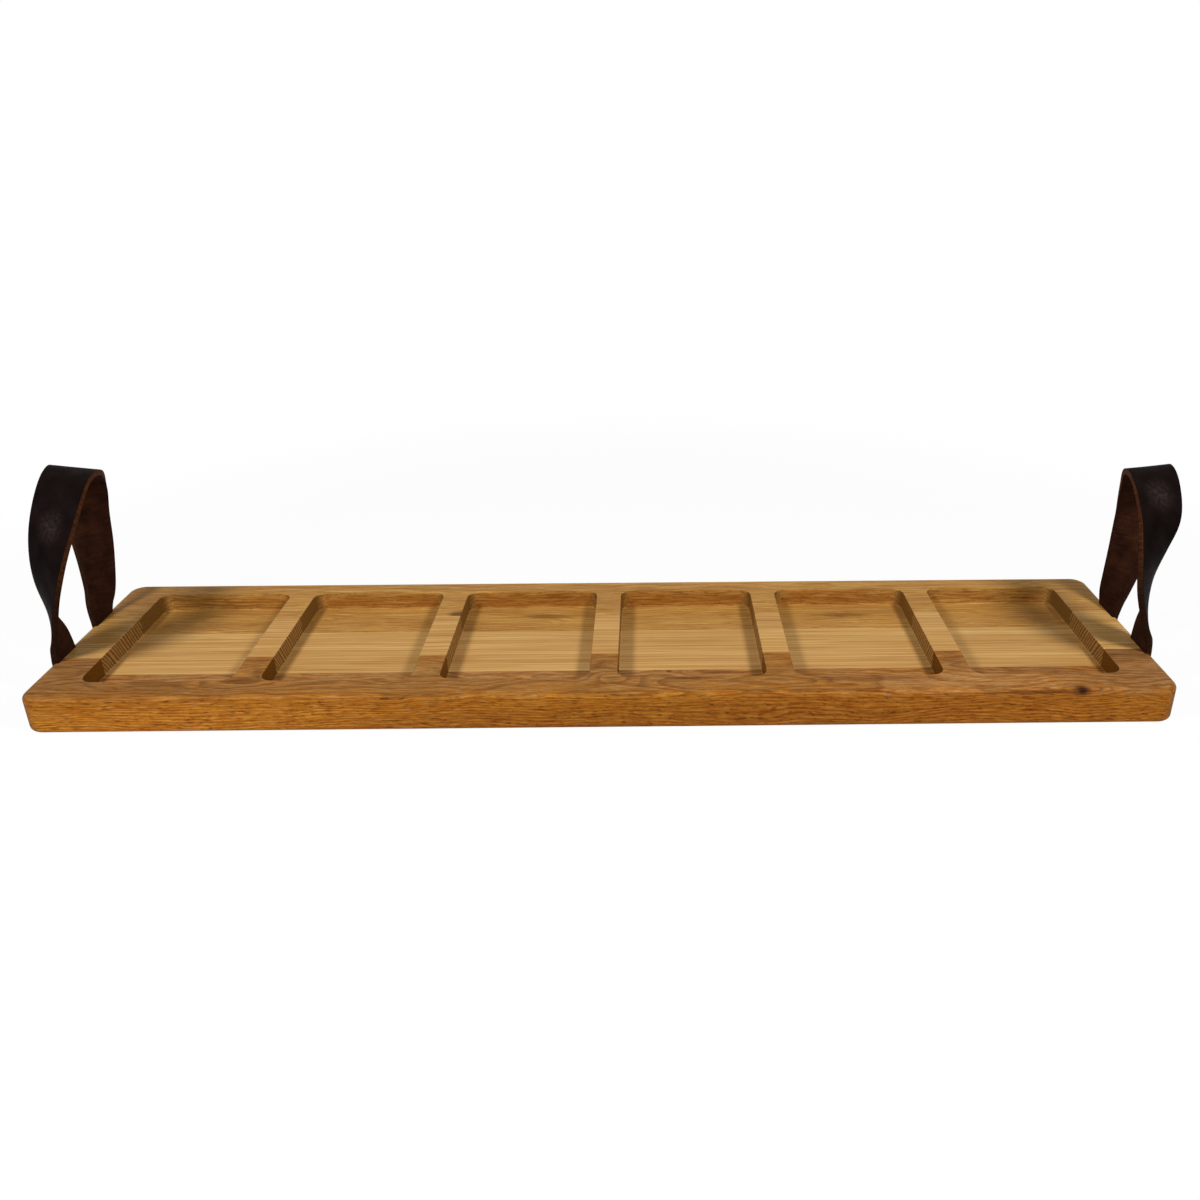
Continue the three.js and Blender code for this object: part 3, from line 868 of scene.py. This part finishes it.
def leather_edge():
    """Undyed brown fibres, dull and a little fuzzy."""
    finish, tree = new_finish("leather_edge_cut")
    runs = add(tree, "ShaderNodeTexNoise",
               {"Vector": in_millimetres(tree, "UV"), "Scale": 1 / FIBRE_RUN, "Detail": 5.0,
                "Roughness": 0.7})
    solid = in_millimetres(tree, "Object")
    fuzz = add(tree, "ShaderNodeTexNoise", {"Vector": solid, "Scale": 1 / FUZZ, "Detail": 3.0})
    tone = add(tree, "ShaderNodeMath", {0: runs.outputs[0], 1: fuzz.outputs[0]})
    shade = add(tree, "ShaderNodeMapRange",
                {"Value": tone.outputs[0], 1: 0.75, 2: 1.25, 3: 0.0, 4: 1.0})
    hide = add(tree, "ShaderNodeMix",
               {0: shade.outputs[0], 6: colour("#22110a"), 7: colour("#5c351c")}, data_type="RGBA")
    height = add(tree, "ShaderNodeSeparateXYZ", {0: solid})
    low = add(tree, "ShaderNodeMapRange",
              {"Value": height.outputs[2], 1: DARK_BELOW, 2: PALE_ABOVE, 3: 0.75, 4: 0.0},
              interpolation_type="SMOOTHSTEP")
    hide = add(tree, "ShaderNodeMix", {0: low.outputs[0], 6: hide.outputs[2], 7: colour("#160b07")},
               data_type="RGBA")
    bumps = add(tree, "ShaderNodeBump",
                {"Height": fuzz.outputs[0], "Strength": 0.3, "Distance": 0.0005})
    coat(tree, {"Base Color": hide.outputs[2], "Normal": bumps.outputs[0],
                "Roughness": 0.85, "IOR": 1.45, "Specular IOR Level": 0.05})
    print(f"{finish.name}: {len(tree.nodes)} nodes")
    return finish


strap_finishes = (grain_side, flesh_side, leather_edge())

# %% [markdown]
# ## Screws and cup washers
# The strap ends are held by small steel screws in cup washers. Modelling them again would add
# nothing, because their solids already have the right shape. They only need the finish: turned
# steel with a satin, slightly uneven shine.

# %% Satin steel for the fasteners
SMEAR = 1.5  # millimetres


def satin_steel():
    """Turned steel: a grey metal whose shine is broad and clouds a little from place to place."""
    finish, tree = new_finish("steel_turned_satin")
    smear = add(tree, "ShaderNodeTexNoise",
                {"Vector": in_millimetres(tree, "Object"), "Scale": 1 / SMEAR, "Detail": 4.0})
    gloss = add(tree, "ShaderNodeMapRange",
                {"Value": smear.outputs[0], 1: 0.3, 2: 0.7, 3: 0.24, 4: 0.42})
    metal = add(tree, "ShaderNodeMix",
                {0: smear.outputs[0], 6: colour("#a9a59d"), 7: colour("#cbc7be")}, data_type="RGBA")
    coat(tree, {"Base Color": metal.outputs[2], "Roughness": gloss.outputs[0], "Metallic": 1.0})
    return finish


steel = satin_steel()
fasteners = [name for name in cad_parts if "screw" in name or "washer" in name]
for name in fasteners:
    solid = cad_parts[name]
    solid.data.materials.clear()
    solid.data.materials.append(steel)
print(f"steel on {len(fasteners)} fasteners")

# %% [markdown]
# ## Put together
# Each stave stands for its own solid and rides on the board. A strap stands for its loop and its
# two tabs.

for stave, wood, node, slot in ((front_stave, front_wood, "front_stave", "front_beech"),
                                (middle_stave, middle_wood, "middle_stave", "middle_beech"),
                                (back_stave, back_wood, "back_stave", "back_beech")):
    stave.data.materials.clear()
    stave.data.materials.append(wood)
    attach(stave, "board")
    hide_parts(node)

for piece, side, end in ((left_strap, "left", -1), (right_strap, "right", 1)):
    for number, finish in enumerate(strap_finishes):
        piece.data.materials[number] = finish
    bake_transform(piece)
    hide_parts(f"{side}_strap_loop", f"{side}_front_tab", f"{side}_rear_tab")

# %% [markdown]
# ## The floor
# The picture has a white ground with hardly a shadow. More light would whiten a floor, but bleach
# the wood too. So the floor is matt paper that is nearly white by itself to the camera, and still
# takes a faint shadow near the tray. To the light that falls on the tray it is plain paper.

# %% Floor of matt white paper
GROUND_RADIUS, GROUND_SIDES = 6, 96
NEAR, FAR, NEAR_WHITE = 0.45, 0.8, 0.94  # metres from the middle, and the share of white there


def seen_directly(tree):
    """1 for what the camera, a reflection or glass sees, and 0 for light on its way to the tray."""
    rays = add(tree, "ShaderNodeLightPath")
    seen = add(tree, "ShaderNodeMath",
               {0: rays.outputs["Is Camera Ray"], 1: rays.outputs["Is Glossy Ray"]})
    seen = add(tree, "ShaderNodeMath",
               {0: seen.outputs[0], 1: rays.outputs["Is Transmission Ray"]}, use_clamp=True)
    return seen.outputs[0]


clear_bench()
bpy.ops.mesh.primitive_circle_add(vertices=GROUND_SIDES, radius=GROUND_RADIUS, fill_type="NGON",
                                  location=(0, 0, 0))
ground = bpy.context.object
ground.name = "floor"
paper, tree = new_finish("paper_white_matt")
seen = seen_directly(tree)
from_middle = add(tree, "ShaderNodeTexCoord").outputs["Object"]
away = add(tree, "ShaderNodeVectorMath", {0: from_middle}, operation="LENGTH")
whiter = add(tree, "ShaderNodeMapRange",
             {"Value": away.outputs[1], 1: NEAR, 2: FAR, 3: NEAR_WHITE, 4: 1.0},
             interpolation_type="SMOOTHSTEP")
share = add(tree, "ShaderNodeMath", {0: seen, 1: whiter.outputs[0]}, operation="MULTIPLY")
tone = add(tree, "ShaderNodeMix", {0: seen, 6: colour("#ebebe9"), 7: colour("#fafafa")},
           data_type="RGBA")
matt = add(tree, "ShaderNodeBsdfDiffuse", {"Color": tone.outputs[2]})
white = add(tree, "ShaderNodeEmission", {"Color": (1, 1, 1, 1), "Strength": 1.0})
mixed = add(tree, "ShaderNodeMixShader",
            {0: share.outputs[0], 1: matt.outputs[0], 2: white.outputs[0]})
add(tree, "ShaderNodeOutputMaterial", {0: mixed.outputs[0]})
ground.data.materials.append(paper)
print(f"floor: {paper.name}, {GROUND_RADIUS} m in radius")

# %% [markdown]
# ## The sky
# A pale sky fills the shadows, as the walls of a studio do. A bright one would wash them out, so it
# is weak for the light on the tray, and plain white only where it is seen.

# %% Pale sky
SKY = 0.1

world = bpy.data.worlds.new("studio")
bpy.context.scene.world = world
world.use_nodes = True
tree = world.node_tree
tree.nodes.clear()
sky = add(tree, "ShaderNodeBackground", {"Color": (1, 1, 1, 1), "Strength": SKY})
backdrop = add(tree, "ShaderNodeBackground", {"Color": (1, 1, 1, 1), "Strength": 1.0})
mixed = add(tree, "ShaderNodeMixShader",
            {0: seen_directly(tree), 1: sky.outputs[0], 2: backdrop.outputs[0]})
add(tree, "ShaderNodeOutputWorld", {0: mixed.outputs[0]})
print(f"sky: strength {SKY} on the tray")

# %% [markdown]
# ## Two soft lights
# Each strap shades its own end of the board, and each pocket is shaded along both its sides. One
# large light could not do both, so there are two alike, one to each side in front. Their size sets
# how soft the shadows are.

# %% Lights to the left and right
LAMP_ASIDE, LAMP_FORWARD, LAMP_HEIGHT = 0.61, -0.49, 0.76  # metres
LAMP_AIM, LAMP_SIZE, LAMP_WATTS = 0.4, 0.23, 7.4  # aimed past the middle, at the far half


def soft_light(name, side):
    """A round soft light to one side, turned to the other half of the tray."""
    lamp = bpy.data.lights.new(name, "AREA")
    lamp.shape, lamp.size, lamp.energy = "DISK", LAMP_SIZE, LAMP_WATTS
    made = bpy.data.objects.new(name, lamp)
    made.location = (side * LAMP_ASIDE, LAMP_FORWARD, LAMP_HEIGHT)
    way = Vector((-side * LAMP_AIM, 0, 0)) - Vector((side * LAMP_ASIDE, LAMP_FORWARD, LAMP_HEIGHT))
    made.rotation_euler = way.to_track_quat("-Z", "Y").to_euler()
    bpy.context.scene.collection.objects.link(made)


soft_light("left_softbox", -1)
soft_light("right_softbox", 1)
bpy.context.scene.view_settings.view_transform = "Standard"
